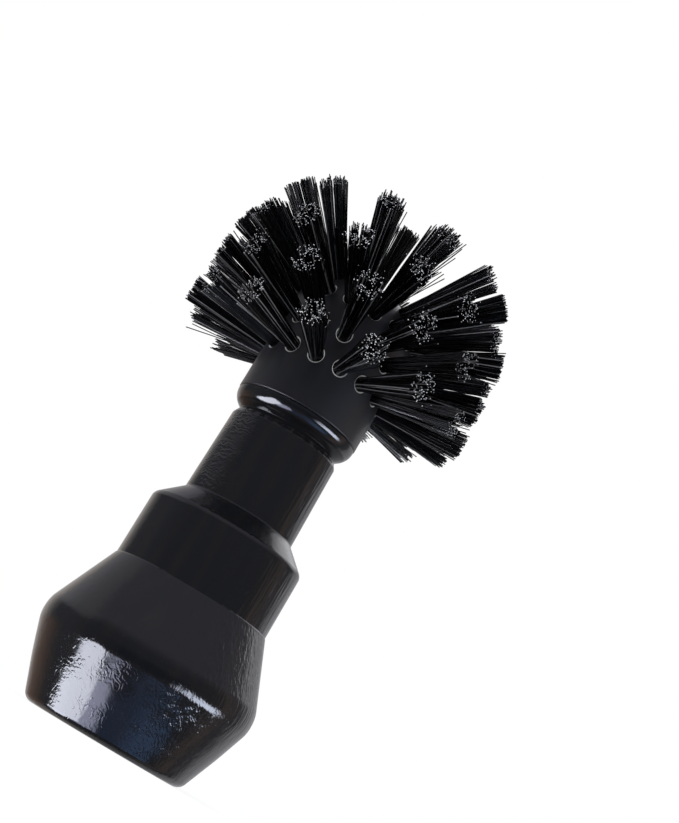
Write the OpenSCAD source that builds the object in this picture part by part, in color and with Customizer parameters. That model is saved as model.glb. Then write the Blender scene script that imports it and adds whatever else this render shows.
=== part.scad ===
// Portafilter cleaning brush
// A turned, black-lacquered handle that stands on its base, with a domed head drilled all round.
// Each hole holds a tuft of nylon bristle, folded in half over a flat wire anchor and trimmed to
// the rounded form that fits the basket.
// Millimetres. The origin is the centre of the base, +Z runs up the handle to the bristles.

/* [Handle] */
// Diameter of the base, at the corner before it is rounded
base_d = 28.4; // [24:0.1:34]
// Rounding of the base corner
base_round = 1.8; // [0.6:0.1:2.4]
// Diameter of the belly, at the ridge before it is rounded
belly_d = 39.3; // [34:0.1:44]
// Height of the belly's ridge
belly_z = 14.2; // [11:0.1:17]
// Rounding of the belly's ridge
belly_round = 6; // [1:0.5:9]
// Height of the taper from the belly up to the grip
taper_h = 12.8; // [9:0.1:18]
// Diameter of the grip
grip_d = 27.9; // [25:0.1:32]
// Length of the grip
grip_h = 11.5; // [6:0.1:20]
// Depth of the small ledge where the taper ends
ledge = 0.15; // [0.05:0.05:0.4]
// Rounding of the shoulder above the grip
shoulder_round = 1.3; // [0.5:0.1:2]
// Height of the sloping shoulder
shoulder_h = 3.55; // [2:0.05:6]
// Rounding in the corner between shoulder and neck
neck_fillet = 0.6; // [0.2:0.1:1.2]
// Diameter of the neck at its foot
neck_d = 20.1; // [17:0.1:21]
// Diameter of the neck at its top
neck_top_d = 19.6; // [17:0.1:21]
// Length of the neck, up to the notch under the head
neck_h = 16.1; // [10:0.1:40]

/* [Head] */
// Diameter of the head
head_d = 22.3; // [21:0.1:26]
// Height of the head above its bead
head_h = 26.4; // [25.4:0.1:30]
// Radius of the dome's corner
dome_round = 8.65; // [7:0.05:9.5]
// Height of the rounded bead under the head
bead_h = 3; // [2.6:0.1:4]
// Radius of the bead
bead_round = 2.75; // [2.2:0.05:3.2]
// How far the bead stands in from the head
bead_inset = 0.1; // [0.05:0.05:0.3]
// Diameter at the bottom of the notch under the bead
notch_d = 18.2; // [15:0.1:18.8]
// Width of the notch's sloping lower side
notch_h = 1.3; // [0.6:0.1:2]
// Depth of the fine line between bead and head
line_depth = 0.2; // [0.1:0.05:0.4]

/* [Bristle trim] */
// Diameter that the bristles are trimmed to
brush_d = 52.1; // [44:0.1:58]
// Length of the crown tufts, from the head to the flat top of the trim
crown_l = 14.55; // [10:0.05:20]
// Height of the rounded part of the trim, below its flat top
trim_dome_h = 21.9; // [16:0.1:21.9]

/* [Tufts] */
// Diameter of the drilled holes
hole_d = 2.6; // [2.2:0.1:2.7]
// Depth of the flat-bottomed holes
hole_depth = 3.5; // [3:0.1:3.7]
// Width of the lacquered rim round each hole's mouth
hole_rim = 0.12; // [0.05:0.01:0.2]
// Clearance between a tuft and the wall of its hole
tuft_gap = 0.05; // [0.02:0.01:0.1]
// How far a tuft spreads to each side along its free length, in degrees
tuft_spread = 3.8; // [1:0.1:5]
// Rounding of a tuft's folded end
fold_round = 0.45; // [0.2:0.05:0.8]

/* [Anchors] */
// Thickness of the flat anchor wire
anchor_t = 0.4; // [0.25:0.05:0.6]
// Height of an anchor along its hole
anchor_h = 1.5; // [1:0.1:2]
// Thickness of the bristle folded under an anchor
anchor_bed = 0.7; // [0.5:0.05:1]
// Clearance between an anchor's ends and the wall of its hole
anchor_gap = 0.03; // [0.01:0.01:0.08]

/* [Rows] */
// Tufts in each of the three rows round the side
side_count = 15; // [10:1:16]
// Tufts in the row on the dome's shoulder
dome_count = 12; // [8:1:13]
// Tufts in the crown
crown_count = 3; // [2:1:4]
// Depth of the lowest row below the second
row_1_drop = 5.3; // [4:0.05:6]
// Depth of the second row below the foot of the dome's corner
row_2_drop = 3.7; // [3:0.05:5]
// Angle round the dome's corner, above level, at which the third row sits
row_3_seat_angle = 15.4; // [12:0.1:20]
// Angle round the dome's corner, above level, at which the fourth row sits
row_4_seat_angle = 43; // [40:0.1:50]
// Radius of the circle that the crown tufts stand on
crown_r = 3; // [2:0.1:4]

/* [Lean] */
// Angle of the lowest row's tufts above level
row_1_lean_angle = 4.5; // [0:0.5:8]
// Angle of the second row's tufts above level
row_2_lean_angle = 13; // [9:0.5:15]
// Angle of the third row's tufts above level
row_3_lean_angle = 21; // [19:0.5:25]
// Angle of the fourth row's tufts above level
row_4_lean_angle = 41; // [38:0.5:46]
// Angle of the crown tufts above level
crown_lean_angle = 80; // [76:0.5:84]
// Angle of the lowest row round the handle, from +X
row_1_turn_angle = -80.5; // [-180:0.5:180]
// Angle of the second row round the handle, from +X
row_2_turn_angle = -92.5; // [-180:0.5:180]
// Angle of the third row round the handle, from +X
row_3_turn_angle = -79.5; // [-180:0.5:180]
// Angle of the fourth row round the handle, from +X
row_4_turn_angle = -74; // [-180:0.5:180]
// Angle of the crown round the handle, from +X
crown_turn_angle = 90; // [-180:0.5:180]

/* [Hidden] */
$fn = 96;
// Faces along a rounded corner of the outline
CORNER_STEPS = 8;
grip_z = belly_z + taper_h;
shoulder_z = grip_z + grip_h;
neck_z = shoulder_z + shoulder_h;
notch_z = neck_z + neck_h;
bead_z = notch_z + bead_h;
head_z = bead_z + head_h;
top_z = head_z + crown_l;
head_r = head_d / 2;
dome_z = head_z - dome_round;
dome_r = head_r - dome_round;
bead_r = head_r - bead_inset;
hole_r = hole_d / 2;
tuft_r = hole_r - tuft_gap;
trim_r = brush_d / 2;
// Room for a tuft to run past the trim before it is cut
blank_l = trim_r;
// Room for a hole's rim to run clear of the curved surface
rim_l = 1;
anchor_w = 2 * sqrt(pow(hole_r - anchor_gap, 2) - pow(anchor_t / 2, 2));
row_2_z = dome_z - row_2_drop;
row_1_z = row_2_z - row_1_drop;
row_3_r = dome_place_r(row_3_seat_angle);
row_3_z = dome_place_z(row_3_seat_angle);
row_4_r = dome_place_r(row_4_seat_angle);
row_4_z = dome_place_z(row_4_seat_angle);
// Each row: name, number of tufts, turn, radius and height of the hole mouths, lean above level
ROWS = [
    ["row_1", side_count, row_1_turn_angle, head_r, row_1_z, row_1_lean_angle],
    ["row_2", side_count, row_2_turn_angle, head_r, row_2_z, row_2_lean_angle],
    ["row_3", side_count, row_3_turn_angle, row_3_r, row_3_z, row_3_lean_angle],
    ["row_4", dome_count, row_4_turn_angle, row_4_r, row_4_z, row_4_lean_angle],
    ["crown", crown_count, crown_turn_angle, crown_r, crown_z(crown_r), crown_lean_angle],
];

function dome_place_r(angle) = dome_r + dome_round * cos(angle);
function dome_place_z(angle) = dome_z + dome_round * sin(angle);
// Height of the dome's surface at a radius near the axis
function crown_z(r) = r <= dome_r ? head_z : dome_z + sqrt(pow(dome_round, 2) - pow(r - dome_r, 2));

// The arc that rounds the corner q between p and s. A corner is [radius, height, rounding].
function rounded(p, q, s) =
    q[2] == 0 ? [[q[0], q[1]]] :
    let (
        to_p = unit([p[0] - q[0], p[1] - q[1]]),
        to_s = unit([s[0] - q[0], s[1] - q[1]]),
        half = acos(to_p * to_s) / 2,
        middle = unit(to_p + to_s),
        c = [q[0], q[1]] + middle * q[2] / sin(half),
        from = [q[0], q[1]] + to_p * q[2] / tan(half) - c,
        to = [q[0], q[1]] + to_s * q[2] / tan(half) - c,
        start = atan2(from[1], from[0]),
        swing = atan2(from[0] * to[1] - from[1] * to[0], from * to)
    )
    [for (i = [0 : CORNER_STEPS])
        c + q[2] * [cos(start + swing * i / CORNER_STEPS), sin(start + swing * i / CORNER_STEPS)]];
function unit(v) = v / norm(v);
function outline(corners) = [
    for (i = [0 : len(corners) - 1])
        each rounded(
            corners[(i + len(corners) - 1) % len(corners)],
            corners[i],
            corners[(i + 1) % len(corners)])
];

// The handle's outline in order from the base, as [radius, height, rounding]
handle_corners = concat(
    [
        [0, 0, 0],
        [base_d / 2, 0, base_round],
        [belly_d / 2, belly_z, belly_round],
        [grip_d / 2 + ledge, grip_z, 0],
        [grip_d / 2, grip_z + ledge, 0],
        [grip_d / 2, shoulder_z, shoulder_round],
        [neck_d / 2, neck_z, neck_fillet],
        [neck_top_d / 2, notch_z - notch_h, neck_fillet],
        [notch_d / 2, notch_z, 0],
    ],
    [for (angle = [-60 : 10 : 0])
        [bead_r - bead_round + bead_round * cos(angle), bead_z + bead_round * sin(angle), 0]],
    [
        [bead_r - line_depth, bead_z + line_depth / 2, 0],
        [head_r, bead_z + line_depth + bead_inset, 0],
        [head_r, head_z, dome_round],
        [0, head_z, 0],
    ]
);

module handle() {
    color("#1c1c1e")
    difference() {
        rotate_extrude() polygon(outline(handle_corners));
        for (row = ROWS) on_row(row) hole();
    }
}

// Puts its children at every hole mouth of a row, with +Z along the tuft
module on_row(row) {
    for (i = [0 : row[1] - 1])
        rotate(row[2] + 360 * i / row[1])
        translate([row[3], 0, row[4]])
        rotate([0, 90 - row[5], 0])
        children();
}

// A flat-bottomed hole with a small bevelled rim at its mouth
module hole() {
    translate([0, 0, -hole_depth]) cylinder(r = hole_r, h = hole_depth + rim_l);
    translate([0, 0, -hole_rim]) cylinder(r1 = hole_r, r2 = hole_r + hole_rim + rim_l, h = hole_rim + rim_l);
}

// A tuft before trimming: round in its hole, folded at the bottom, spreading outside
module tuft_blank() {
    rotate_extrude() polygon([
        [0, -hole_depth],
        [tuft_r - fold_round, -hole_depth],
        [tuft_r, -hole_depth + fold_round],
        [tuft_r, 0],
        [tuft_r + blank_l * tan(tuft_spread), blank_l],
        [0, blank_l],
    ]);
}

// The rounded form that all the bristles are trimmed to
module trim() {
    rotate_extrude() intersection() {
        union() {
            square([trim_r, top_z - trim_dome_h]);
            translate([0, top_z - trim_dome_h]) circle(trim_r);
        }
        square([trim_r, top_z]);
    }
}

module anchor() {
    translate([-anchor_t / 2, -anchor_w / 2, -hole_depth + anchor_bed])
    cube([anchor_t, anchor_w, anchor_h]);
}

module tufts(row) {
    color("#111214")
    difference() {
        intersection() {
            on_row(row) tuft_blank();
            trim();
        }
        on_row(row) anchor();
    }
}

module anchors(row) {
    color("#b4b7bb") on_row(row) anchor();
}

handle();
for (row = ROWS) {
    tufts(row);
    anchors(row);
}
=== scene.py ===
import math
import random
from collections import namedtuple

import bpy
from mathutils import Matrix, Vector


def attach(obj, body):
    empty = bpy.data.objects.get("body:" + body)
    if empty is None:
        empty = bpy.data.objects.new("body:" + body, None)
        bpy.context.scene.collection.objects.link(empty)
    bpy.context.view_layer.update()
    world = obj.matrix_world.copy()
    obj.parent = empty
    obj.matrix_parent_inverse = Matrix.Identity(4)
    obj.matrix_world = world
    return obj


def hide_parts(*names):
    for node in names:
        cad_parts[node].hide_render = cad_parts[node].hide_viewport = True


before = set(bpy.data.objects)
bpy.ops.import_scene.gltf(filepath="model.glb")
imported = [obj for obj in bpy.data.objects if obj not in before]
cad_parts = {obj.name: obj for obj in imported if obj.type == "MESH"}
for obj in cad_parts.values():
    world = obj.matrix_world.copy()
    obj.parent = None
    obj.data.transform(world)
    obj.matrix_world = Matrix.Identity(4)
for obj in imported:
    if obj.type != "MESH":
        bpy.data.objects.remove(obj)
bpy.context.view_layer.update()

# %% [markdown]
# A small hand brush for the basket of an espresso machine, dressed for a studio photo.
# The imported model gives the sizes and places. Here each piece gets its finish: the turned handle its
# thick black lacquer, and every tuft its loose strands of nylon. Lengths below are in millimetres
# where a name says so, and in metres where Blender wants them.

MM = 0.001


def linear(hex_colour):
    """An sRGB hex colour as the linear RGBA that a shader reads."""
    channels = [int(hex_colour[i:i + 2], 16) / 255 for i in (1, 3, 5)]
    return [c / 12.92 if c <= 0.04045 else ((c + 0.055) / 1.055) ** 2.4 for c in channels] + [1]


def edit(piece, pick="NONE"):
    """Opens one piece alone in edit mode, with all of it or none of it selected."""
    bpy.ops.object.select_all(action="DESELECT")
    piece.select_set(True)
    bpy.context.view_layer.objects.active = piece
    bpy.ops.object.mode_set(mode="EDIT")
    bpy.ops.mesh.select_all(action="SELECT" if pick == "ALL" else "DESELECT")


def close_edit():
    bpy.ops.object.mode_set(mode="OBJECT")


def apply_modifier(piece, kind, **settings):
    modifier = piece.modifiers.new(kind.lower(), kind)
    for name, value in settings.items():
        setattr(modifier, name, value)
    bpy.context.view_layer.objects.active = piece
    bpy.ops.object.modifier_apply(modifier=modifier.name)


bpy.ops.object.select_all(action="DESELECT")

# %% [markdown]
# The camera looks at the standing brush from just above the table, tilted up and rolled to the
# right, as the photo shows it. Its place was worked out from the turned edges of the handle, whose
# ellipses give the tilt, and from the two lengths that are known.

# %% Camera
PHOTO_W, PHOTO_H = 679, 823
EYE = Vector((0, -250 * MM, 2.5 * MM))
FOCAL_PX = 1529.4
SENSOR_MM = 36
TILT_UP = math.radians(14.34)
TURN_RIGHT = math.radians(1.26)
ROLL = math.radians(30.74)

look = Vector((math.sin(TURN_RIGHT) * math.cos(TILT_UP), math.cos(TURN_RIGHT) * math.cos(TILT_UP),
               math.sin(TILT_UP)))
level_right = look.cross(Vector((0, 0, 1))).normalized()
level_up = level_right.cross(look)
camera_right = level_right * math.cos(ROLL) + level_up * math.sin(ROLL)
camera_up = level_up * math.cos(ROLL) - level_right * math.sin(ROLL)
bpy.ops.object.camera_add()
camera = bpy.context.object
camera.name = "photo_camera"
camera_turn = Matrix((camera_right, camera_up, -look)).transposed()
camera.matrix_world = Matrix.Translation(EYE) @ camera_turn.to_4x4()
camera.data.sensor_width = SENSOR_MM
camera.data.lens = FOCAL_PX * SENSOR_MM / max(PHOTO_W, PHOTO_H)
camera.data.clip_start = 10 * MM
bpy.context.scene.camera = camera
print("camera lens", round(camera.data.lens, 2), "mm")

# %% [markdown]
# The handle is turned on a lathe from one stick: belly, grip, neck, bead and domed head. Half of its
# section is drawn as one flat face, each corner is rounded by a vertex bevel as a gouge would leave
# it, and the outline is then spun round the axis. A spun outline stays smooth where the lacquer
# mirrors the room, which loose CAD triangles would not.

# %% The turned outline
BASE_R, BASE_ROUND = 14.2, 1.8
BELLY_R, BELLY_Z, BELLY_ROUND = 19.65, 14.2, 6
GRIP_R, GRIP_Z, LEDGE, LEDGE_ROUND = 13.95, 27, 0.15, 0.08
SHOULDER_Z, SHOULDER_ROUND = 38.5, 1.3
NECK_R, NECK_Z, NECK_TOP_R, NECK_FILLET = 10.05, 42.05, 9.8, 0.6
NOTCH_R, NOTCH_Z, NOTCH_H = 9.1, 58.15, 1.3
BEAD_Z, BEAD_ROUND, BEAD_R = 61.15, 2.75, 11.05
HEAD_R, HEAD_Z, DOME_ROUND = 11.15, 87.55, 8.65
# The edges of the notch, and of the fine line between bead and head, are only slightly rounded
LINE_DEPTH, LINE_H, FINE_ROUND = 0.2, 0.3, 0.12
# The cone under the belly is very slightly barrelled, which bends the highlights on it
BARREL, BARREL_ROUND = 0.16, 45
# The bead's arc, in degrees from its widest place
ARC_START, ARC_STEP = -60, 5

# Each corner is (radius, height, rounding)
BEAD_ARC = [(BEAD_R - BEAD_ROUND + BEAD_ROUND * math.cos(math.radians(degrees)),
             BEAD_Z + BEAD_ROUND * math.sin(math.radians(degrees)), 0)
            for degrees in range(ARC_START, 1, ARC_STEP)]
CONE_LEAN = math.atan2(BELLY_R - BASE_R, BELLY_Z)
CORNERS = [
    (0, 0, 0),
    (BASE_R, 0, BASE_ROUND),
    ((BASE_R + BELLY_R) / 2 + BARREL * math.cos(CONE_LEAN),
     BELLY_Z / 2 - BARREL * math.sin(CONE_LEAN), BARREL_ROUND),
    (BELLY_R, BELLY_Z, BELLY_ROUND),
    (GRIP_R + LEDGE, GRIP_Z, LEDGE_ROUND),
    (GRIP_R, GRIP_Z + LEDGE, LEDGE_ROUND),
    (GRIP_R, SHOULDER_Z, SHOULDER_ROUND),
    (NECK_R, NECK_Z, NECK_FILLET),
    (NECK_TOP_R, NOTCH_Z - NOTCH_H, NECK_FILLET),
    (NOTCH_R, NOTCH_Z, FINE_ROUND),
    *BEAD_ARC,
    (BEAD_R - LINE_DEPTH, BEAD_Z + LINE_DEPTH / 2, 0),
    (HEAD_R, BEAD_Z + LINE_H, FINE_ROUND),
    (HEAD_R, HEAD_Z, DOME_ROUND),
    (0, HEAD_Z, 0),
]
SAME_PLACE, SPUN_SEAM = 0.001 * MM, 0.002 * MM
# A rounding over 1 mm is drawn in more steps than a finer one
WIDE_ROUND, WIDE_STEPS, FINE_STEPS = 1, 10, 4


def half_section(name, corners):
    """A flat face in the XZ plane with these corners, whose roundings are bevelled in."""
    bpy.ops.mesh.primitive_plane_add(size=MM)
    piece = bpy.context.object
    piece.name = name
    bpy.ops.object.mode_set(mode="EDIT")
    bpy.ops.mesh.merge(type="CENTER")
    at = Vector((0, 0))
    for radius, height, _ in corners:
        step = Vector((radius, height)) - at
        if step.length > 0:
            way = {"value": (step.x * MM, 0, step.y * MM)}
            bpy.ops.mesh.extrude_region_move(TRANSFORM_OT_translate=way)
        at = Vector((radius, height))
    bpy.ops.mesh.select_all(action="SELECT")
    bpy.ops.mesh.remove_doubles(threshold=SAME_PLACE)
    bpy.ops.mesh.edge_face_add()
    close_edit()
    for i, (radius, height, rounding) in enumerate(corners):
        if rounding > 0:
            before, after = corners[i - 1], corners[(i + 1) % len(corners)]
            back = Vector((before[0] - radius, before[1] - height))
            on = Vector((after[0] - radius, after[1] - height))
            round_corner(piece, radius, height, rounding / math.tan(back.angle(on) / 2), rounding)
    return piece


def round_corner(piece, radius, height, reach, rounding):
    """Bevels the corner at this place back to reach along both of its edges."""
    place = Vector((radius * MM, 0, height * MM))
    edit(piece)
    close_edit()
    nearest = min(piece.data.vertices, key=lambda v: (v.co - place).length)
    nearest.select = True
    bpy.ops.object.mode_set(mode="EDIT")
    bpy.ops.mesh.select_mode(type="VERT")
    bpy.ops.mesh.bevel(offset_type="ABSOLUTE", offset=reach * MM, affect="VERTICES",
                       segments=WIDE_STEPS if rounding > WIDE_ROUND else FINE_STEPS,
                       clamp_overlap=False)
    close_edit()


def spin_round(piece, steps):
    """Turns a half section into a closed round solid."""
    edit(piece, "ALL")
    bpy.ops.mesh.delete(type="ONLY_FACE")
    close_edit()
    for edge in piece.data.edges:
        edge.select = all(abs(piece.data.vertices[v].co.x) < SAME_PLACE for v in edge.vertices)
    bpy.ops.object.mode_set(mode="EDIT")
    bpy.ops.mesh.select_mode(type="EDGE")
    bpy.ops.mesh.delete(type="EDGE")
    bpy.ops.mesh.select_mode(type="VERT")
    bpy.ops.mesh.select_all(action="SELECT")
    bpy.ops.mesh.spin(steps=steps, angle=2 * math.pi, center=(0, 0, 0), axis=(0, 0, 1))
    bpy.ops.mesh.select_all(action="SELECT")
    bpy.ops.mesh.remove_doubles(threshold=SPUN_SEAM)
    bpy.ops.mesh.normals_make_consistent(inside=False)
    close_edit()


SPIN_STEPS = 224
handle = half_section("lacquered_handle", CORNERS)
spin_round(handle, SPIN_STEPS)
print("handle", len(handle.data.polygons), "faces, height",
      round(max(v.co.z for v in handle.data.vertices) / MM, 2), "mm")

# %% [markdown]
# The head is drilled on an indexing jig. The real holes follow the lean of their tufts, while each lip
# lies square to the head's surface, and the lips are coloured near white as a painted highlight along
# their edges. So two cutters are spun, a drill and a shallow countersink, and a copy of each goes to
# every hole. All the copies of one cutter are cut away in one boolean, so the surface between the
# holes stays whole, and the walls that a cutter leaves keep its finish.

# %% The drilled holes
# Both cutters start a little outside the head, so that they cut clean through its surface
HOLE_R, HOLE_DEPTH, DRILL_TOP = 1.3, 3.5, 1
LIP_R, LIP_SLOPE = 1.53, 1.36
SINK_DEPTH, SINK_TOP = 0.5, 0.3
CUTTER_STEPS = 40
SIDE_COUNT, DOME_COUNT, CROWN_COUNT = 15, 12, 3
DOME_R, DOME_Z = HEAD_R - DOME_ROUND, HEAD_Z - DOME_ROUND
# How far row 2 lies below the foot of the dome, and row 1 below row 2
ROW_2_DROP, ROW_PITCH = 3.7, 5.3
ROW_2_Z = DOME_Z - ROW_2_DROP
ROW_1_Z = ROW_2_Z - ROW_PITCH


def on_dome(degrees):
    """Radius and height of a place on the dome's rounded corner."""
    angle = math.radians(degrees)
    return DOME_R + DOME_ROUND * math.cos(angle), DOME_Z + DOME_ROUND * math.sin(angle)


CROWN_R = 3
CROWN_Z = DOME_Z + math.sqrt(DOME_ROUND ** 2 - (CROWN_R - DOME_R) ** 2)
# A row's first hole is at turn, its mouths are at radius and height, and its tufts lean above level
Row = namedtuple("Row", "name holes turn radius height lean")
ROWS = [
    Row("row_1", SIDE_COUNT, -80.5, HEAD_R, ROW_1_Z, 4.5),
    Row("row_2", SIDE_COUNT, -92.5, HEAD_R, ROW_2_Z, 13),
    Row("row_3", SIDE_COUNT, -79.5, *on_dome(15.4), 21),
    Row("row_4", DOME_COUNT, -74, *on_dome(43), 41),
    Row("crown", CROWN_COUNT, 90, CROWN_R, CROWN_Z, 80),
]


def hole_place(row, index, more_turn=0, more_lean=0):
    """The frame of one hole's mouth, in metres, with +Z out along its tuft."""
    swing = Matrix.Rotation(math.radians(row.turn + 360 * index / row.holes), 4, "Z")
    mouth = Matrix.Translation((row.radius * MM, 0, row.height * MM))
    tip = Matrix.Rotation(math.radians(90 - row.lean - more_lean), 4, "Y")
    side = Matrix.Rotation(math.radians(more_turn), 4, "X")
    return swing @ mouth @ tip @ side


def join(pieces, name):
    bpy.ops.object.select_all(action="DESELECT")
    for piece in pieces:
        piece.select_set(True)
    bpy.context.view_layer.objects.active = pieces[0]
    bpy.ops.object.join()
    pieces[0].name = name
    return pieces[0]


def surface_lean(row):
    """How far above level the head's surface faces at the holes of this row, in degrees."""
    if row.height <= DOME_Z:
        return 0
    return math.degrees(math.atan2(row.height - DOME_Z, row.radius - DOME_R))


def cut_holes(name, corners, finish, square):
    """Cuts this spun shape out of the handle at every hole, along the tufts or square to the head."""
    cutter = half_section(name, corners)
    spin_round(cutter, CUTTER_STEPS)
    cutter.data.materials.append(finish)
    copies = []
    for row in ROWS:
        more_lean = surface_lean(row) - row.lean if square else 0
        for index in range(row.holes):
            copy = cutter.copy()
            copy.data = cutter.data.copy()
            copy.data.transform(hole_place(row, index, 0, more_lean))
            bpy.context.collection.objects.link(copy)
            copies.append(copy)
    bpy.data.objects.remove(cutter)
    cutters = join(copies, name)
    apply_modifier(handle, "BOOLEAN", operation="DIFFERENCE", object=cutters, solver="EXACT",
                   material_mode="TRANSFER")
    bpy.data.objects.remove(cutters)
    print(name, "left", len(handle.data.polygons), "faces")


# The handle's slots, whose finishes are made further down
# The lips are coloured near white, a painted highlight along the edge of each hole
lip_painted_highlight = bpy.data.materials.new("lacquer_lips_painted_highlight_pale")
dark_hole = bpy.data.materials.new("dark_inside_of_holes")
handle.data.materials.append(bpy.data.materials.new("lacquer"))
cut_holes("drill", [(0, -HOLE_DEPTH, 0), (HOLE_R, -HOLE_DEPTH, 0),
                    (HOLE_R, DRILL_TOP, 0), (0, DRILL_TOP, 0)],
          dark_hole, square=False)
cut_holes("countersink", [(0, -SINK_DEPTH, 0), (LIP_R - SINK_DEPTH * LIP_SLOPE, -SINK_DEPTH, 0),
                          (LIP_R + SINK_TOP * LIP_SLOPE, SINK_TOP, 0), (0, SINK_TOP, 0)],
          lip_painted_highlight, square=True)
print("drilled handle's finishes", [finish.name for finish in handle.data.materials])

# %% [markdown]
# Edges sharper than a limit stay crisp and the rest is shaded smooth. Weighted normals then keep the
# wide faces between the holes calm, so the cuts don't dent the mirror images near them.

# %% Smooth shading of the handle
HANDLE_SHARP_ANGLE, FACE_WEIGHT = 34, 90
bpy.ops.object.select_all(action="DESELECT")
handle.select_set(True)
bpy.context.view_layer.objects.active = handle
bpy.ops.object.shade_smooth_by_angle(angle=math.radians(HANDLE_SHARP_ANGLE))
apply_modifier(handle, "WEIGHTED_NORMAL", keep_sharp=True, weight=FACE_WEIGHT)
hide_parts("handle")
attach(handle, "root")

# %% [markdown]
# A tuft is a pinch of nylon strands, folded in half under a flat wire anchor and driven into its
# hole. So a strand is one long line with two cut ends: down one side of the anchor, round below it
# and out on the other side. Each is drawn as a curve with a six-sided bevel and made a mesh, which
# keeps it down to about 70 faces. Strands cling together in small locks, so the tuft shows dark ribs
# and slits and not an even cone, and a few stray ones stand off.

# %% The form that the strands are trimmed to
TRIM_R, TRIM_TOP_Z, TRIM_DOME_H = 26.05, 102.1, 21.9
TRIM_BALL_Z = TRIM_TOP_Z - TRIM_DOME_H


def outside_trim(point):
    """How far a point in millimetres is outside the trimmed form, below zero when it is inside."""
    across = math.hypot(point.x, point.y)
    if point.z > TRIM_BALL_Z:
        across = math.hypot(across, point.z - TRIM_BALL_Z)
    return max(across - TRIM_R, point.z - TRIM_TOP_Z)


# %% Strands of one tuft
STRANDS, STRAND_R, TUFT_R = 56, 0.09, 1.25
# Sideways travel of the outermost strands for each millimetre outside the hole
SPREAD = 0.086
# Strands lean towards the nearest lock, whose place is a share of the tuft's radius
LOCKS, LOCK_REACH, LOCK_PULL = 9, (0.5, 1.2), 0.3
# The anchor and the fold round it, with depths from the hole's mouth
ANCHOR_HALF_T, ANCHOR_FOOT, FOLD_TOP = 0.2, -2.8, -2.2
FOLD_NARROWING, FOLD_SAG = 0.8, 0.45
INNER, OUTER = ANCHOR_HALF_T + STRAND_R, TUFT_R - STRAND_R
GOLDEN = math.pi * (3 - math.sqrt(5))
# How unlike each other the strands are: their places, the way they run, and their bend over a length
ACROSS_SCATTER, ALONG_SCATTER, FAR_LEG_SCATTER = 0.015, 0.02, 0.05
SLOPE_SCATTER, STRAY_SCATTER = 0.013, 0.06
BEND_SCATTER, BEND_LENGTH = 0.16, 15
STRAY_SHARE, SHORT_SHARE = 0.08, 0.06
# How far past the trimmed form a strand is cut, and how much further back a short one is
SLACK, SLACK_SCATTER, MOST_SLACK, SHORT_BY = 0.3, 0.22, 0.62, (0.3, 1.3)
# A strand's length is searched between two limits until they are this close
SHORTEST, LONGEST, CLOSE = 1, 32, 0.01
POINTS_ALONG = (0.04, 0.35, 0.68, 1)


def leg_starts(dice):
    """Where the strands stand in the hole, on one side of the anchor."""
    starts = []
    for k in range(2 * STRANDS):
        radius = OUTER * math.sqrt((k + 0.5) / (2 * STRANDS))
        x, y = radius * math.cos(k * GOLDEN), radius * math.sin(k * GOLDEN)
        if x > 0:
            x = max(x, INNER) + dice.gauss(0, ACROSS_SCATTER)
            starts.append(Vector((x, y + dice.gauss(0, ALONG_SCATTER))))
    return starts[:STRANDS]


def leg_slope(start, locks, dice, stray):
    """Which way a strand runs outside its hole, as sideways travel for each length of it."""
    own = start / TUFT_R
    lock = min(locks, key=lambda place: (place - own).length)
    slope = SPREAD * (own + (lock - own) * LOCK_PULL)
    slope += Vector((dice.gauss(0, SLOPE_SCATTER), dice.gauss(0, SLOPE_SCATTER)))
    if stray:
        slope += Vector((dice.gauss(0, STRAY_SCATTER), dice.gauss(0, STRAY_SCATTER)))
    return slope


def leg_points(place, start, slope, bend, end_slack):
    """Points in millimetres from the mouth out to the cut end, which is near the trimmed form."""
    def at(along):
        side = start + slope * along + bend * (along / BEND_LENGTH) ** 2
        return place @ Vector((side.x, side.y, along))

    low, high = SHORTEST, LONGEST
    while high - low > CLOSE:
        middle = (low + high) / 2
        if outside_trim(at(middle)) > 0:
            high = middle
        else:
            low = middle
    length = low + end_slack
    return [at(length * part) for part in POINTS_ALONG]


def strand_points(place, start, locks, dice):
    """The whole folded strand, from one cut end to the other, in millimetres."""
    other = Vector((-start.x, start.y + dice.gauss(0, FAR_LEG_SCATTER)))
    ends = []
    for leg in (start, other):
        stray = dice.random() < STRAY_SHARE
        slope = leg_slope(leg, locks, dice, stray)
        bend = Vector((dice.gauss(0, BEND_SCATTER), dice.gauss(0, BEND_SCATTER)))
        slack = min(MOST_SLACK, dice.gauss(SLACK, SLACK_SCATTER))
        if dice.random() < SHORT_SHARE:
            slack -= dice.uniform(*SHORT_BY)
        ends.append(leg_points(place, leg, slope, bend, slack))
    share = (start.x - INNER) / (OUTER - INNER)
    foot = ANCHOR_FOOT - STRAND_R - FOLD_SAG * max(0, share)
    narrow = FOLD_NARROWING * start.x
    fold = [(start.x, FOLD_TOP), (narrow, foot), (-narrow, foot), (-start.x, FOLD_TOP)]
    inside = [place @ Vector((x, start.y, depth)) for x, depth in fold]
    return ends[0][::-1] + inside + ends[1]


# %% All the strands of a row
SEED = 7
PLAIN, GLINTING, CUT = 0, 1, 2
# Share of strands in each row that are coloured pale grey as painted highlights
GLINTING_SHARE = {"row_1": 0.15, "row_2": 0.12, "row_3": 0.08, "row_4": 0.07, "crown": 0.05}
OFF_TRUE_DEGREES, STRAND_SHARP_ANGLE = 0.9, 65


def place_in_mm(row, index, dice):
    """The tuft's frame in millimetres, a little off true, as hand-fed tufts are."""
    place = hole_place(row, index, dice.gauss(0, OFF_TRUE_DEGREES), dice.gauss(0, OFF_TRUE_DEGREES))
    place.translation /= MM
    return place


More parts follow.
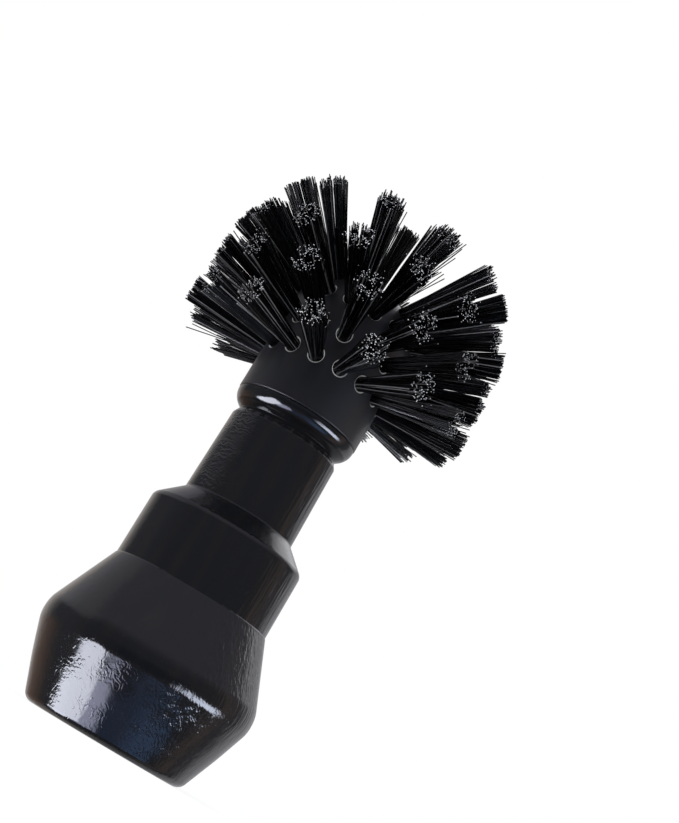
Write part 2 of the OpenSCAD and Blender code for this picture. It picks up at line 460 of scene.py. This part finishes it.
def tuft_row(row, dice):
    """Draws every strand of a row as one curve, and makes it one mesh."""
    curve = bpy.data.curves.new("strands_" + row.name, "CURVE")
    curve.dimensions = "3D"
    curve.bevel_depth = STRAND_R * MM
    curve.bevel_resolution = 1
    curve.use_fill_caps = True
    curve.materials.append(plain_strand)
    curve.materials.append(glinting_strand)
    for index in range(row.holes):
        place = place_in_mm(row, index, dice)
        locks = [Vector((math.cos(a), math.sin(a))) * dice.uniform(*LOCK_REACH)
                 for a in (dice.uniform(0, 2 * math.pi) for _ in range(LOCKS))]
        for start in leg_starts(dice):
            points = strand_points(place, start, locks, dice)
            spline = curve.splines.new("POLY")
            # Some strands take the pale grey material, a painted highlight along the tuft
            spline.material_index = GLINTING if dice.random() < GLINTING_SHARE[row.name] else PLAIN
            spline.points.add(len(points) - 1)
            for spline_point, point in zip(spline.points, points):
                spline_point.co = (*(point * MM), 1)
    tufts = bpy.data.objects.new("strands_" + row.name, curve)
    bpy.context.collection.objects.link(tufts)
    bpy.ops.object.select_all(action="DESELECT")
    tufts.select_set(True)
    bpy.context.view_layer.objects.active = tufts
    bpy.ops.object.convert(target="MESH")
    bpy.ops.object.shade_smooth_by_angle(angle=math.radians(STRAND_SHARP_ANGLE))
    return bpy.context.object


# The strands' slots, whose finishes are made further down
plain_strand = bpy.data.materials.new("plain_strand")
glinting_strand = bpy.data.materials.new("glinting_strand")
tuft_rows = {}
for number, row in enumerate(ROWS):
    tufts = tuft_row(row, random.Random(SEED + number))
    tuft_rows[row.name] = tufts
    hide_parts("tufts_" + row.name)
    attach(tufts, "root")
    triangles = sum(len(p.vertices) - 2 for p in tufts.data.polygons)
    print(tufts.name, triangles, "triangles")

# %% [markdown]
# Each finish with a pattern is a node material that reads the piece's own coordinates in millimetres,
# so the pattern keeps its real size and stays put when the camera moves.

# %% Node helpers
SCALE_TO_MM = (1 / MM,) * 3


def new_material(name):
    material = bpy.data.materials.new(name)
    material.use_nodes = True
    material.node_tree.nodes.clear()
    return material


def add_node(tree, kind, settings=None, links=None):
    """Adds a node. A key is a socket's name or number, or else one of the node's own settings."""
    node = tree.nodes.new(kind)
    for key, value in (settings or {}).items():
        if isinstance(key, int) or key in node.inputs:
            node.inputs[key].default_value = value
        else:
            setattr(node, key, value)
    for key, output in (links or {}).items():
        tree.links.new(output, node.inputs[key])
    return node


def millimetres(tree, scale=(1, 1, 1)):
    """The piece's own coordinates in millimetres, stretched by scale."""
    place = add_node(tree, "ShaderNodeTexCoord")
    sizes = [a * b for a, b in zip(SCALE_TO_MM, scale)]
    stretched = add_node(tree, "ShaderNodeMapping", {"Scale": sizes},
                         {"Vector": place.outputs["Object"]})
    return stretched.outputs[0]


# %% [markdown]
# The handle is beech or a like close wood under several brushed coats of black gloss lacquer. Its
# relief is made as four bumps, each kept where the photo shows it: an orange-peel ripple all over,
# wrinkles on the cone and on the left of the neck where the lacquer sagged, streaks along the right
# side where a brush dragged it, and a few specks of dust that it dried over. They fray the edges of
# every highlight. Each is a height from 0 to 1 made of noise, and all but the ripple are kept to
# their places by a mask.

# %% Relief of the lacquer
# Heights in millimetres
RIPPLE_H, WRINKLE_H, DRAG_H, SPECK_H, HEAD_RIPPLE_H = 0.024, 0.033, 0.14, 0.012, 0.008
# Bands of the handle: the heights where a mask starts and is full at its foot, and then at its top
NECK_BAND = (42, 43), (57.5, 57)
SHOULDER_BAND = (38.8, 39.2), (42.2, 41.8)
GROOVE_SHADE_BAND = (57.4, 57.7), (59.4, 59.2)
SOFT = {"interpolation_type": "SMOOTHSTEP"}
TIMES, LARGER = {"operation": "MULTIPLY"}, {"operation": "MAXIMUM"}


def band(tree, height, foot, top):
    """1 on a band of the handle and 0 above and below it, with soft ends."""
    ends = [add_node(tree, "ShaderNodeMapRange", {**SOFT, "From Min": none, "From Max": full},
                     {"Value": height}).outputs[0] for none, full in (foot, top)]
    return add_node(tree, "ShaderNodeMath", TIMES, {0: ends[0], 1: ends[1]}).outputs[0]


def ripple(tree):
    """Orange peel, with about 1.2 mm from crest to crest."""
    peel = add_node(tree, "ShaderNodeTexNoise", {"Scale": 0.8, "Detail": 2.0, "Roughness": 0.45},
                    {"Vector": millimetres(tree)})
    return peel.outputs[0]


def wrinkles(tree, place):
    """Sags about 0.5 mm apart, which come and go, on the cone and on the left of the neck."""
    wave = add_node(tree, "ShaderNodeTexWave", {"bands_direction": "DIAGONAL", "Scale": 0.75,
                                                "Distortion": 15.0, "Detail": 3.0, "Detail Scale": 0.8},
                    {"Vector": millimetres(tree)})
    uneven = add_node(tree, "ShaderNodeTexNoise", {"Scale": 0.35, "Detail": 1.0},
                      {"Vector": millimetres(tree)})
    some = add_node(tree, "ShaderNodeMapRange", {**SOFT, "From Min": 0.3, "From Max": 0.65},
                    {"Value": uneven.outputs[0]})
    sags = add_node(tree, "ShaderNodeMath", TIMES, {0: wave.outputs["Fac"], 1: some.outputs[0]})
    cone = add_node(tree, "ShaderNodeMapRange", {"From Min": 15.0, "From Max": 11.0, "To Max": 0.45},
                    {"Value": place.outputs["Z"]})
    left = add_node(tree, "ShaderNodeMapRange", {**SOFT, "From Min": -0.5, "From Max": -6.5},
                    {"Value": place.outputs["X"]})
    left_of_neck = add_node(tree, "ShaderNodeMath", TIMES,
                            {0: left.outputs[0], 1: band(tree, place.outputs["Z"], *NECK_BAND)})
    here = add_node(tree, "ShaderNodeMath", LARGER, {0: cone.outputs[0], 1: left_of_neck.outputs[0]})
    return add_node(tree, "ShaderNodeMath", TIMES, {0: sags.outputs[0], 1: here.outputs[0]}).outputs[0]


def brush_drag(tree, place):
    """Streaks about 0.7 mm wide and 9 mm long, on the right of the grip and the neck."""
    streaks = add_node(tree, "ShaderNodeTexNoise", {"Scale": 1.0, "Detail": 2.0, "Distortion": 0.3},
                       {"Vector": millimetres(tree, (1.5, 1.5, 0.11))})
    above_cone = add_node(tree, "ShaderNodeMapRange", {"From Min": 9.0, "From Max": 15.0, "To Min": 0.4},
                          {"Value": place.outputs["Z"]})
    below_shoulder = add_node(tree, "ShaderNodeMapRange", {**SOFT, "From Min": 38.0, "From Max": 37.0},
                              {"Value": place.outputs["Z"]})
    grip = add_node(tree, "ShaderNodeMath", TIMES,
                    {0: above_cone.outputs[0], 1: below_shoulder.outputs[0]})
    walls = add_node(tree, "ShaderNodeMath", LARGER,
                     {0: grip.outputs[0], 1: band(tree, place.outputs["Z"], *NECK_BAND)})
    right = add_node(tree, "ShaderNodeMapRange", {**SOFT, "From Min": 3.0, "From Max": 8.0},
                     {"Value": place.outputs["X"]})
    here = add_node(tree, "ShaderNodeMath", TIMES, {0: right.outputs[0], 1: walls.outputs[0]})
    return add_node(tree, "ShaderNodeMath", TIMES, {0: streaks.outputs[0], 1: here.outputs[0]}).outputs[0]


def dust_specks(tree):
    """Raised specks, one in about a quarter of cells 0.9 mm across."""
    cells = add_node(tree, "ShaderNodeTexVoronoi", {"Scale": 1.1, "Randomness": 1.0},
                     {"Vector": millimetres(tree)})
    chance = add_node(tree, "ShaderNodeSeparateColor", links={"Color": cells.outputs["Color"]})
    speck = add_node(tree, "ShaderNodeMapRange", {**SOFT, "From Min": 0.3, "From Max": 0.1},
                     {"Value": cells.outputs["Distance"]})
    chosen = add_node(tree, "ShaderNodeMapRange", {**SOFT, "From Min": 0.7, "From Max": 0.75},
                      {"Value": chance.outputs[0]})
    return add_node(tree, "ShaderNodeMath", TIMES, {0: speck.outputs[0], 1: chosen.outputs[0]}).outputs[0]


def stacked_relief(tree, layers):
    """The normal after all layers of relief, each a height from 0 to 1 and its worth in millimetres."""
    links = {}
    for height, height_mm in layers:
        links["Height"] = height
        layer = add_node(tree, "ShaderNodeBump", {"Strength": 1.0, "Distance": height_mm * MM}, links)
        links["Normal"] = layer.outputs[0]
    return links["Normal"]


# %% [markdown]
# Gloss is a low roughness, and a rubbed surface is a higher one. The shoulder is a little duller than
# the walls. In the groove under the bead most of the shine is taken away, as painted shade that keeps
# the groove dark. The head is the same lacquer rubbed satin, with no relief left but a faint ripple.

# %% Gloss and colour of the lacquer
GLOSS_ROUGHNESS, SHOULDER_ROUGHNESS, SATIN_ROUGHNESS = 0.09, 0.2, 0.36
GLOSS_SPECULAR, GROOVE_SHADE_SPECULAR = 0.5, 0.12


def lacquer_surface(tree, settings, links):
    """The lacquer's shader, near black, with faint streaks of about 2 by 17 mm up the grain."""
    streak = add_node(tree, "ShaderNodeTexNoise", {"Scale": 1.0, "Detail": 3.0},
                      {"Vector": millimetres(tree, (0.5, 0.5, 0.06))})
    colour = add_node(tree, "ShaderNodeValToRGB", links={"Fac": streak.outputs[0]})
    for stop, place, shade in zip(colour.color_ramp.elements, (0.4, 0.8), ("#111215", "#171616")):
        stop.position = place
        stop.color = linear(shade)
    surface = add_node(tree, "ShaderNodeBsdfPrincipled", {"IOR": 1.5, **settings},
                       {"Base Color": colour.outputs[0], **links})
    add_node(tree, "ShaderNodeOutputMaterial", links={"Surface": surface.outputs[0]})


brushed_lacquer = new_material("black_gloss_lacquer_on_beech")
tree = brushed_lacquer.node_tree
place = add_node(tree, "ShaderNodeSeparateXYZ", links={"Vector": millimetres(tree)})
relief = stacked_relief(tree, [(ripple(tree), RIPPLE_H), (wrinkles(tree, place), WRINKLE_H),
                               (brush_drag(tree, place), DRAG_H), (dust_specks(tree), SPECK_H)])
rough = add_node(tree, "ShaderNodeMapRange", {"To Min": GLOSS_ROUGHNESS, "To Max": SHOULDER_ROUGHNESS},
                 {"Value": band(tree, place.outputs["Z"], *SHOULDER_BAND)})
# Painted shade: the groove under the bead gets a low specular level, so that it stays dark
shine = add_node(tree, "ShaderNodeMapRange", {"To Min": GLOSS_SPECULAR, "To Max": GROOVE_SHADE_SPECULAR},
                 {"Value": band(tree, place.outputs["Z"], *GROOVE_SHADE_BAND)})
lacquer_surface(tree, {}, {"Roughness": rough.outputs[0], "Specular IOR Level": shine.outputs[0],
                           "Normal": relief})

sanded_lacquer = new_material("satin_rubbed_lacquer_on_head")
tree = sanded_lacquer.node_tree
lacquer_surface(tree, {"Roughness": SATIN_ROUGHNESS},
                {"Normal": stacked_relief(tree, [(ripple(tree), HEAD_RIPPLE_H)])})

# %% [markdown]
# The cutters have already left their own finishes in the holes and on the lips. The rest is parted by
# height: gloss up to the bead, and satin on the head above it.

# %% Where each finish lies on the handle
# The satin starts just above the bead
SATIN_Z = BEAD_Z + 0.05
slots = handle.data.materials
slots[slots.find("lacquer")] = brushed_lacquer
slots.append(sanded_lacquer)
lacquer_slot, satin_slot = slots.find(brushed_lacquer.name), slots.find(sanded_lacquer.name)
for face in handle.data.polygons:
    if face.material_index == lacquer_slot and face.center.z > SATIN_Z * MM:
        face.material_index = satin_slot
# Painted highlight: the lips are near white. The insides of the holes are near black
for finish, colour, roughness in ((lip_painted_highlight, "#f2f2f0", 0.35), (dark_hole, "#0a0a0b", 0.6)):
    finish.use_nodes = True
    surface = finish.node_tree.nodes["Principled BSDF"]
    surface.inputs["Base Color"].default_value = linear(colour)
    surface.inputs["Roughness"].default_value = roughness
for number, finish in enumerate(slots):
    print(finish.name, sum(1 for f in handle.data.polygons if f.material_index == number), "faces")

# %% [markdown]
# Black nylon is drawn through a die, so a strand is smooth and takes thin bright lines along its
# length. Its ends were sheared and are rough. They are coloured grey to near white, some brighter than
# others, as painted glints, so that seen end on a tuft is a sprinkle of grey dots. Some strands are
# coloured pale grey as painted highlights, most of them in the lowest row, and they draw the thin pale
# lines along a tuft.

# %% Nylon strands and their cut ends
def drawn_nylon(name, colour, roughness, specular):
    material = new_material(name)
    surface = add_node(material.node_tree, "ShaderNodeBsdfPrincipled",
                       {"Base Color": linear(colour), "Roughness": roughness, "IOR": 1.53,
                        "Specular IOR Level": specular})
    add_node(material.node_tree, "ShaderNodeOutputMaterial", links={"Surface": surface.outputs[0]})
    return material


nylon = drawn_nylon("black_nylon_strand", "#050506", 0.2, 0.1)
# Painted highlight: pale grey strands stand in for the thin bright lines of light along a tuft
glinting_nylon = drawn_nylon("black_nylon_strand_pale_painted_highlight", "#6c6c6f", 0.3, 0.6)

end_glint_nylon = new_material("sheared_nylon_end_painted_glints")
tree = end_glint_nylon.node_tree
# Painted glints: each cell of a cut end gets a grey from dark to near white at random
cells = add_node(tree, "ShaderNodeTexVoronoi", {"Scale": 2.4}, {"Vector": millimetres(tree)})
shine = add_node(tree, "ShaderNodeSeparateColor", links={"Color": cells.outputs["Color"]})
colour = add_node(tree, "ShaderNodeValToRGB", links={"Fac": shine.outputs[0]})
for stop, place, shade in zip(colour.color_ramp.elements, (0.2, 0.8), ("#3a3a3c", "#e0e2e6")):
    stop.position = place
    stop.color = linear(shade)
surface = add_node(tree, "ShaderNodeBsdfPrincipled", {"Roughness": 0.4, "IOR": 1.53},
                   {"Base Color": colour.outputs[0]})
add_node(tree, "ShaderNodeOutputMaterial", links={"Surface": surface.outputs[0]})

# Only the flat cut ends of the strands are made of triangles
END_CORNERS = 3
for tufts in tuft_rows.values():
    tufts.data.materials[PLAIN] = nylon
    tufts.data.materials[GLINTING] = glinting_nylon
    tufts.data.materials.append(end_glint_nylon)
    for face in tufts.data.polygons:
        if len(face.vertices) == END_CORNERS:
            face.material_index = CUT
    print(tufts.name, [sum(1 for f in tufts.data.polygons if f.material_index == number)
                       for number in (PLAIN, GLINTING, CUT)], "faces plain, painted highlight and cut")

# %% [markdown]
# The anchors are snipped from flat, zinc-coated steel wire. They sit deep in the holes, and keep
# their CAD shape with a drawn-metal finish.

# %% Anchor wire
anchor_wire = new_material("drawn_flat_steel_wire")
tree = anchor_wire.node_tree
scratch = add_node(tree, "ShaderNodeTexNoise", {"Scale": 3.0, "Detail": 2.0},
                   {"Vector": millimetres(tree, (1, 1, 8))})
rough = add_node(tree, "ShaderNodeMapRange", {"To Min": 0.25, "To Max": 0.5},
                 {"Value": scratch.outputs[0]})
surface = add_node(tree, "ShaderNodeBsdfPrincipled", {"Base Color": linear("#b6b8ba"), "Metallic": 1.0},
                   {"Roughness": rough.outputs[0]})
add_node(tree, "ShaderNodeOutputMaterial", links={"Surface": surface.outputs[0]})
for name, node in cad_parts.items():
    if name.startswith("anchors_"):
        node.data.materials.clear()
        node.data.materials.append(anchor_wire)

# %% [markdown]
# The photo is a packshot on white. The world is white to the camera and plain grey to matt surfaces,
# but what the black lacquer mirrors is a studio: a colour ramp for the room all round, a pale ceiling,
# and rounded patches for the windows and reflectors, whose mirror images are the bright spots on the
# cone and the bead. The patches light only gloss, so they can be placed one by one.

# %% World
# What the lacquer mirrors all round: azimuth in degrees from the camera to the right, and a colour
AROUND = [(-180, "#c4c4c8"), (-150, "#d8d0ca"), (-124, "#66666c"), (-95, "#7c7c84"), (-60, "#666670"),
          (0, "#64646e"), (60, "#6a6a74"), (78, "#6a686a"), (97, "#bca89f"), (108, "#74747a"),
          (119, "#84848a"), (132, "#dcdce0"), (156, "#c0c0c4"), (180, "#c4c4c8")]
OVERHEAD = linear("#a4a2b0")
# Patches of light: azimuth, elevation, half width, half height, tilt, softness of the edge, radiance
WINDOWS = [
    (38, -46.5, 25, 9, -4, 0.2, (0.42, 0.72, 1.35)),
    (-20, -48.5, 34, 9, -2, 0.35, (0.2, 0.28, 0.55)),
    (-41.5, -45.5, 13.5, 9.5, 10, 0.35, (4.8, 5, 6.7)),
    (-74, -40.5, 24, 11.5, 17, 0.16, (13, 13.4, 15.4)),
    (58, -17.5, 29, 7.5, 0, 0.25, (11, 12, 14.5)),
    (150, 42, 26, 18, 0, 0.35, (1.5, 1.5, 1.55)),
    (-108, 27, 30, 13, 0, 0.35, (0.5, 0.5, 0.54)),
    (0, -12, 42, 12, 0, 0.4, (0.03, 0.04, 0.07)),
    (-140, -22, 22, 14, 0, 0.5, (0.36, 0.25, 0.2)),
]
# The numbers of a mix node's sockets for colours
MIX_A, MIX_B, MIX_OUT = 6, 7, 2


def direction(azimuth, elevation):
    """The way out from the brush, from degrees to the right of the camera and above level."""
    az, el = math.radians(azimuth), math.radians(elevation)
    return Vector((math.sin(az) * math.cos(el), -math.cos(az) * math.cos(el), math.sin(el)))


def window_mask(tree, way, azimuth, elevation, half_wide, half_tall, tilt, edge):
    """1 for directions inside a patch with rounded corners, and 0 outside it."""
    out = direction(azimuth, elevation)
    turn = out.to_track_quat("Z", "Y").to_matrix() @ Matrix.Rotation(math.radians(tilt), 3, "Z")
    half_sizes = (math.sin(math.radians(half_wide)), math.sin(math.radians(half_tall)), 1)
    local = add_node(tree, "ShaderNodeMapping", {"vector_type": "TEXTURE", "Location": out,
                                                 "Rotation": turn.to_euler(), "Scale": half_sizes},
                     {"Vector": way})
    square = add_node(tree, "ShaderNodeVectorMath", TIMES, {0: local.outputs[0], 1: local.outputs[0]})
    fourth = add_node(tree, "ShaderNodeVectorMath", TIMES, {0: square.outputs[0], 1: square.outputs[0]})
    total = add_node(tree, "ShaderNodeVectorMath", {"operation": "DOT_PRODUCT", 1: (1, 1, 1)},
                     {0: fourth.outputs[0]})
    reach = add_node(tree, "ShaderNodeMath", {"operation": "POWER", 1: 0.25},
                     {0: total.outputs["Value"]})
    inside = add_node(tree, "ShaderNodeMapRange", {**SOFT, "From Min": 1 + edge, "From Max": 1 - edge},
                      {"Value": reach.outputs[0]})
    return inside.outputs[0]


world = bpy.data.worlds.new("studio")
bpy.context.scene.world = world
world.use_nodes = True
world.cycles.sampling_method = "NONE"
tree = world.node_tree
tree.nodes.clear()
way = add_node(tree, "ShaderNodeTexCoord").outputs["Generated"]
axes = add_node(tree, "ShaderNodeSeparateXYZ", links={"Vector": way})
front = add_node(tree, "ShaderNodeMath", {**TIMES, 1: -1.0}, {0: axes.outputs["Y"]})
azimuth = add_node(tree, "ShaderNodeMath", {"operation": "ARCTAN2"},
                   {0: axes.outputs["X"], 1: front.outputs[0]})
turn = add_node(tree, "ShaderNodeMapRange", {"From Min": -math.pi, "From Max": math.pi},
                {"Value": azimuth.outputs[0]})
around = add_node(tree, "ShaderNodeValToRGB", links={"Fac": turn.outputs[0]})
stops = around.color_ramp.elements
stops.remove(stops[1])
for number, (degrees, colour) in enumerate(AROUND):
    stop = stops[0] if number == 0 else stops.new((degrees + 180) / 360)
    stop.position = (degrees + 180) / 360
    stop.color = linear(colour)
above = add_node(tree, "ShaderNodeMapRange", {**SOFT, "From Min": 0.2, "From Max": 0.8},
                 {"Value": axes.outputs["Z"]})
mirrored = add_node(tree, "ShaderNodeMix", {"data_type": "RGBA", MIX_B: OVERHEAD},
                    {0: above.outputs[0], MIX_A: around.outputs[0]})
for *place_and_size, radiance in WINDOWS:
    mask = window_mask(tree, way, *place_and_size)
    mirrored = add_node(tree, "ShaderNodeMix", {"data_type": "RGBA", MIX_B: (*radiance, 1)},
                        {0: mask, MIX_A: mirrored.outputs[MIX_OUT]})
paths = add_node(tree, "ShaderNodeLightPath")
seen = add_node(tree, "ShaderNodeMath", LARGER,
                {0: paths.outputs["Is Camera Ray"], 1: paths.outputs["Is Transmission Ray"]})
plain = add_node(tree, "ShaderNodeBackground", {"Color": linear("#d8dade"), "Strength": 1.0})
white = add_node(tree, "ShaderNodeBackground", {"Color": [1, 1, 1, 1], "Strength": 1.0})
gloss = add_node(tree, "ShaderNodeBackground", {"Strength": 1.0}, {"Color": mirrored.outputs[MIX_OUT]})
lit = add_node(tree, "ShaderNodeMixShader",
               links={0: paths.outputs["Is Glossy Ray"], 1: plain.outputs[0], 2: gloss.outputs[0]})
both = add_node(tree, "ShaderNodeMixShader",
                links={0: seen.outputs[0], 1: lit.outputs[0], 2: white.outputs[0]})
add_node(tree, "ShaderNodeOutputWorld", links={"Surface": both.outputs[0]})
print("stops round the studio", len(stops), "and windows", len(WINDOWS))

# %% [markdown]
# One square softbox, in front and a little to the left, gives the matt surfaces their shape and the
# brush its shadow. It is hidden from gloss, which has the painted studio.

# %% Lamp
LAMP_AZIMUTH, LAMP_ELEVATION = -15, 35
LAMP_DISTANCE, LAMP_SIDE = 500 * MM, 260 * MM
# A radiance of 1 is paper white
LAMP_RADIANCE = 5
MIDDLE = Vector((0, 0, 45 * MM))
out = direction(LAMP_AZIMUTH, LAMP_ELEVATION)
bpy.ops.object.light_add(type="AREA", location=MIDDLE + out * LAMP_DISTANCE)
lamp = bpy.context.object
lamp.name = "front_softbox"
lamp.rotation_euler = out.to_track_quat("Z", "Y").to_euler()
lamp.data.shape = "SQUARE"
lamp.data.size = LAMP_SIDE
lamp.data.energy = LAMP_RADIANCE * math.pi * LAMP_SIDE ** 2
lamp.visible_camera = False
lamp.visible_glossy = False

# %% [markdown]
# The floor is a plain white sheet. It keeps the soft shadow, and it is left out of reflections,
# because the brush in the photo mirrors no table. To the camera most of its white is a glow of its
# own, so it fades into the white world without more light on the brush.

# %% Floor
FLOOR_R, FLOOR_SIDES = 3000 * MM, 96
GLOW, GLOW_SHARE = 1.08, 0.8
bpy.ops.mesh.primitive_circle_add(vertices=FLOOR_SIDES, radius=FLOOR_R, fill_type="NGON",
                                  location=(0, 0, 0))
floor = bpy.context.object
floor.name = "floor"
paper = new_material("white_paper_sheet")
tree = paper.node_tree
paths = add_node(tree, "ShaderNodeLightPath")
matt = add_node(tree, "ShaderNodeBsdfDiffuse", {"Color": linear("#fafafa")})
glow = add_node(tree, "ShaderNodeEmission", {"Color": [1, 1, 1, 1], "Strength": GLOW})
share = add_node(tree, "ShaderNodeMath", {**TIMES, 1: GLOW_SHARE}, {0: paths.outputs["Is Camera Ray"]})
mix = add_node(tree, "ShaderNodeMixShader",
               links={0: share.outputs[0], 1: matt.outputs[0], 2: glow.outputs[0]})
add_node(tree, "ShaderNodeOutputMaterial", links={"Surface": mix.outputs[0]})
floor.data.materials.append(paper)
floor.visible_glossy = False
floor.visible_shadow = False
bpy.context.scene.view_settings.view_transform = "Standard"
